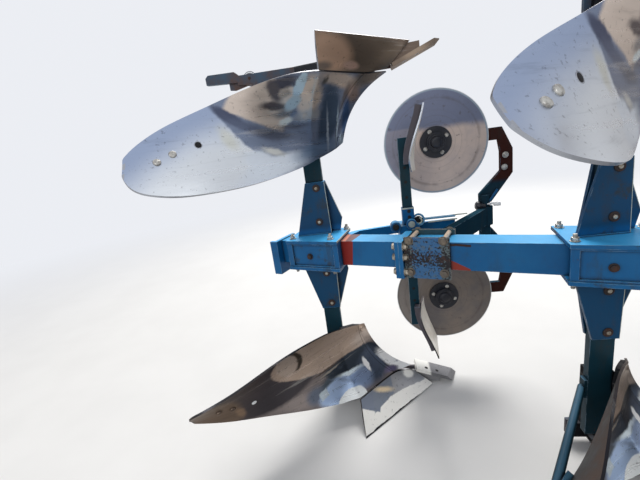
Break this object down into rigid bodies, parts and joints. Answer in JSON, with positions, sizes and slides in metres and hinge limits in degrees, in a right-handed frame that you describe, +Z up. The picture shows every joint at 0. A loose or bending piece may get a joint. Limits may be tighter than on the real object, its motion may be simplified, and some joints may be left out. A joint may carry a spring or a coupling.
{
  "type": "moldboard plough",
  "caption": "Mounted reversible moldboard plough: pairs of bodies on a slanting beam that turns over on a three-point headstock, with skimmers, disc coulters and a depth wheel.",
  "frame": {"origin": "middle of the plough's own box, on the ground it stands on", "axes": "+X is the direction of travel, from the rear body to the headstock. +Y points to the land side, -Y to the side the lower bodies throw to. +Z is up."},
  "size_m": [3.718, 1.7907, 1.71],
  "materials": {
    "blue_paint": "worn blue paint, scratched and dusty",
    "dark_paint": "dark blue-green paint, grimy",
    "frog_iron": "dark cast iron",
    "polished_steel": "earth-polished steel with brown reflections",
    "share_steel": "scoured steel",
    "worn_steel": "worn brown steel",
    "disc_steel": "dull disc steel with a bright rim",
    "blade_steel": "bright skimmer steel",
    "black_iron": "black hub iron",
    "machined_steel": "machined steel",
    "cylinder_black": "black paint",
    "rod_chrome": "hard chrome",
    "rim_paint": "blue wheel paint",
    "tyre_rubber": "black rubber with field dust"
  },
  "bodies": {
    "headstock": {"headstock_plates": "blue_paint", "headstock_bearing": "blue_paint", "top_link_ears": "blue_paint", "cylinder_pivot": "blue_paint", "stand_guide": "blue_paint", "cross_shaft": "machined_steel"},
    "plough_frame": {"beam_rear": "blue_paint", "beam_front": "blue_paint", "console_rear": "blue_paint", "console_middle": "blue_paint", "console_front": "blue_paint", "legs_rear": "dark_paint", "legs_middle": "dark_paint", "legs_front": "dark_paint", "frogs_rear": "frog_iron", "frogs_middle": "frog_iron", "frogs_front": "frog_iron", "mouldboards_rear": "polished_steel", "mouldboards_middle": "polished_steel", "mouldboards_front": "polished_steel", "shins_rear": "polished_steel", "shins_middle": "polished_steel", "shins_front": "polished_steel", "shares_rear": "share_steel", "shares_middle": "share_steel", "shares_front": "share_steel", "points": "share_steel", "landsides": "worn_steel", "mouldboard_stays": "dark_paint", "skimmer_stems": "dark_paint", "skimmer_blades": "blade_steel", "skimmer_carriers": "blue_paint", "coulter_clamp": "blue_paint", "coulter_arms": "blue_paint", "swing_frame": "blue_paint", "turnover_shaft": "machined_steel", "spindle": "machined_steel", "wheel_bracket": "blue_paint"},
    "wheel_arm": {"wheel_fork": "blue_paint"},
    "depth_wheel": {"wheel_rim": "rim_paint", "wheel_tyre": "tyre_rubber"},
    "coulter_upper": {"disc_upper": "disc_steel", "disc_hub_upper": "black_iron"},
    "coulter_lower": {"disc_lower": "disc_steel", "disc_hub_lower": "black_iron"},
    "stand": {"stand_leg": "blue_paint"},
    "turnover_barrel": {"cylinder_barrel": "cylinder_black"},
    "turnover_rod": {"cylinder_rod": "rod_chrome"}
  },
  "joints": [
    {"name": "turnover", "type": "hinge", "parent": "headstock", "child": "plough_frame", "pos_m": [1.47898, 0.05844, 0.855], "axis": [1, 0, 0], "range_deg": [0, 180]},
    {"name": "wheel_arm_swing", "type": "hinge", "parent": "plough_frame", "child": "wheel_arm", "pos_m": [0.64627, 0.31821, 0.855], "axis": [0, 1, 0], "range_deg": [0, 136]},
    {"name": "wheel_spin", "type": "hinge", "parent": "wheel_arm", "child": "depth_wheel", "pos_m": [0.41438, 0.45321, 0.28], "axis": [0, 1, 0], "continuous": true},
    {"name": "coulter_upper_spin", "type": "hinge", "parent": "plough_frame", "child": "coulter_upper", "pos_m": [-0.73002, 0.79644, 1.264], "axis": [0, 1, 0], "continuous": true},
    {"name": "coulter_lower_spin", "type": "hinge", "parent": "plough_frame", "child": "coulter_lower", "pos_m": [-0.73002, 0.79644, 0.446], "axis": [0, 1, 0], "continuous": true},
    {"name": "stand_slide", "type": "slide", "parent": "headstock", "child": "stand", "axis": [0, 0, 1], "range_m": [0, 0.28]},
    {"name": "cylinder_swing", "type": "hinge", "parent": "headstock", "child": "turnover_barrel", "pos_m": [1.67648, 0.05844, 1.355], "axis": [1, 0, 0], "range_deg": [-22.7, 0]},
    {"name": "rod_slide", "type": "slide", "parent": "turnover_barrel", "child": "turnover_rod", "axis": [0, 0.1961, -0.9806], "range_m": [-0.11, 0]}
  ],
  "couplings": [
    {"joint": "cylinder_swing", "follows": "turnover", "ratio": -0.12567}
  ]
}
